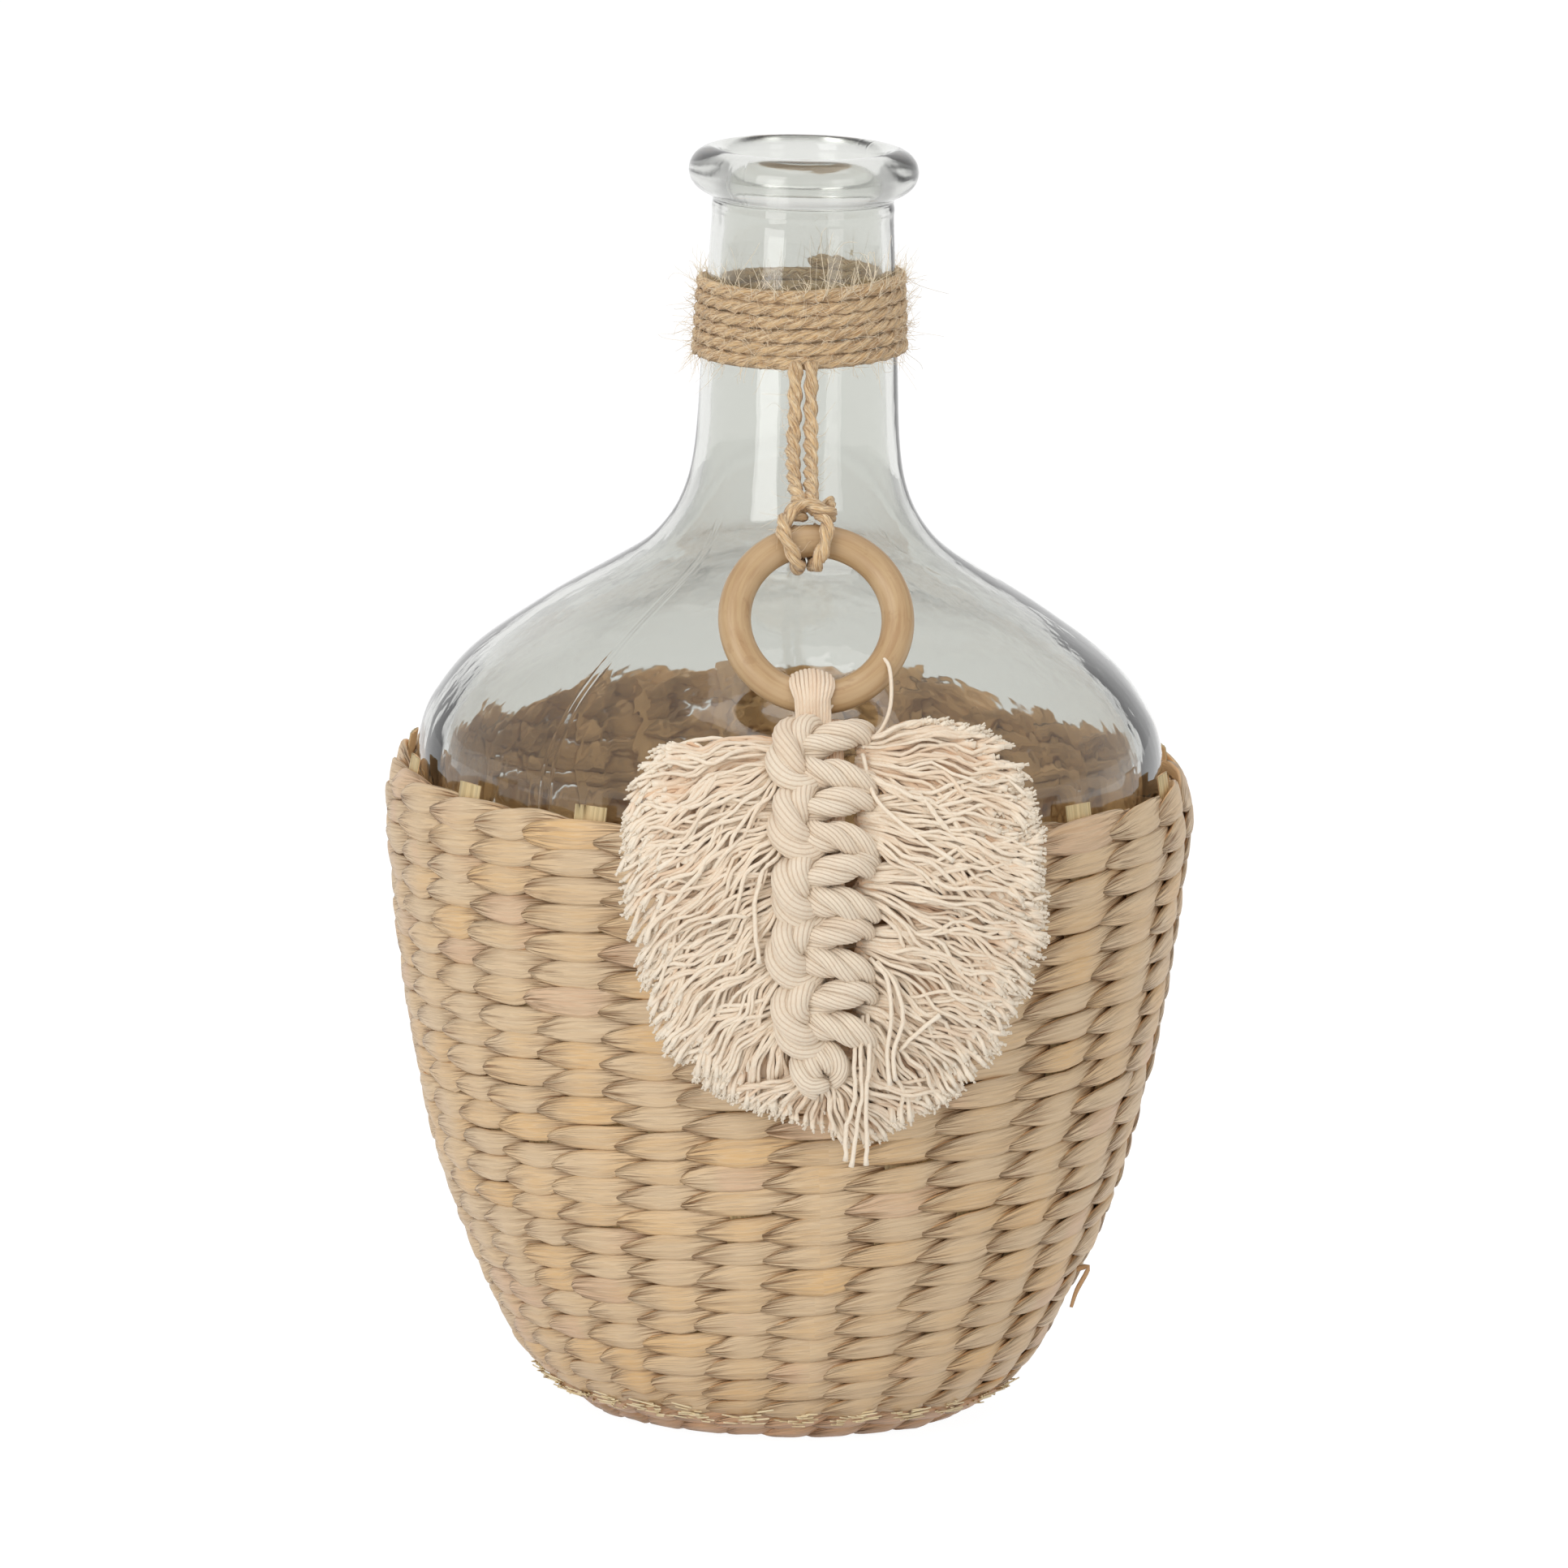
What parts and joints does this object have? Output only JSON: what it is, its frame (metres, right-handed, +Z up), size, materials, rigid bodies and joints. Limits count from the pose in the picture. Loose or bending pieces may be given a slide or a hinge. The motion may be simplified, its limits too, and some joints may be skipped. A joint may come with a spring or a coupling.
{
  "type": "basket-covered glass demijohn",
  "caption": "Clear glass demijohn seated in a twined straw basket, with a twine-wrapped neck from which a wooden ring and a knotted cotton leaf hang.",
  "frame": {"origin": "centre of the basket's underside, where it stands", "axes": "+Z up through the bottle's mouth; the ring and the leaf hang on the -Y side, which faces the viewer; +X to the viewer's right"},
  "size_m": [0.1684, 0.1811, 0.2655],
  "materials": {
    "straw": "dry twined rush, matt",
    "brown_straw": "dry brown rush, matt",
    "stake_straw": "greenish split leaf, ribbed and matt",
    "clear_glass": "clear with a slight green tint",
    "jute": "hairy two-ply twine",
    "beech": "raw, smoothly turned",
    "cotton": "unbleached cotton, matt"
  },
  "bodies": {
    "basket": {"base_mat": "brown_straw", "stake_frame": "stake_straw", "inner_weave": "straw", "weft_row_01": "brown_straw", "weft_row_02": "brown_straw", "weft_row_03": "brown_straw", "weft_row_04": "straw", "weft_row_05": "straw", "weft_row_06": "straw", "weft_row_07": "straw", "weft_row_08": "straw", "weft_row_09": "straw", "weft_row_10": "straw", "weft_row_11": "straw", "weft_row_12": "straw", "weft_row_13": "straw", "weft_row_14": "straw", "weft_row_15": "straw", "weft_row_16": "straw", "weft_row_17": "straw", "weft_row_18": "straw", "weft_row_19": "straw", "weft_row_20": "straw", "weft_row_21": "straw", "weft_row_22": "straw", "weft_row_23": "straw", "weft_row_24": "straw", "weft_row_25": "straw"},
    "bottle": {"glass_bottle": "clear_glass", "neck_wrap": "jute", "wrap_knot": "jute"},
    "hanger": {"hanger_strand_left": "jute", "hanger_strand_right": "jute"},
    "ring": {"wooden_ring": "beech", "ring_knot": "jute"},
    "leaf": {"leaf_loop": "cotton", "leaf_core": "cotton", "leaf_knot_1": "cotton", "leaf_knot_2": "cotton", "leaf_knot_3": "cotton", "leaf_knot_4": "cotton", "leaf_knot_5": "cotton", "leaf_end_knot": "cotton", "fringe_left_1": "cotton", "fringe_left_2": "cotton", "fringe_left_3": "cotton", "fringe_left_4": "cotton", "fringe_left_5": "cotton", "fringe_right_1": "cotton", "fringe_right_2": "cotton", "fringe_right_3": "cotton", "fringe_right_4": "cotton", "fringe_right_5": "cotton", "fringe_bottom": "cotton"}
  },
  "joints": [
    {"name": "bottle_lift", "type": "slide", "parent": "basket", "child": "bottle", "axis": [0, 0, 1], "range_m": [0, 0.145]},
    {"name": "hanger_swing", "type": "hinge", "parent": "bottle", "child": "hanger", "pos_m": [-0.00125, -0.02207, 0.21996], "axis": [0, 1, 0], "range_deg": [-10, 10]},
    {"name": "ring_lift", "type": "hinge", "parent": "hanger", "child": "ring", "pos_m": [-0.0025, -0.05464, 0.20033], "axis": [-1, 0, 0], "range_deg": [0, 80]},
    {"name": "leaf_lift", "type": "hinge", "parent": "ring", "child": "leaf", "pos_m": [0, -0.07233, 0.1624], "axis": [-1, 0, 0], "range_deg": [0, 85]}
  ]
}
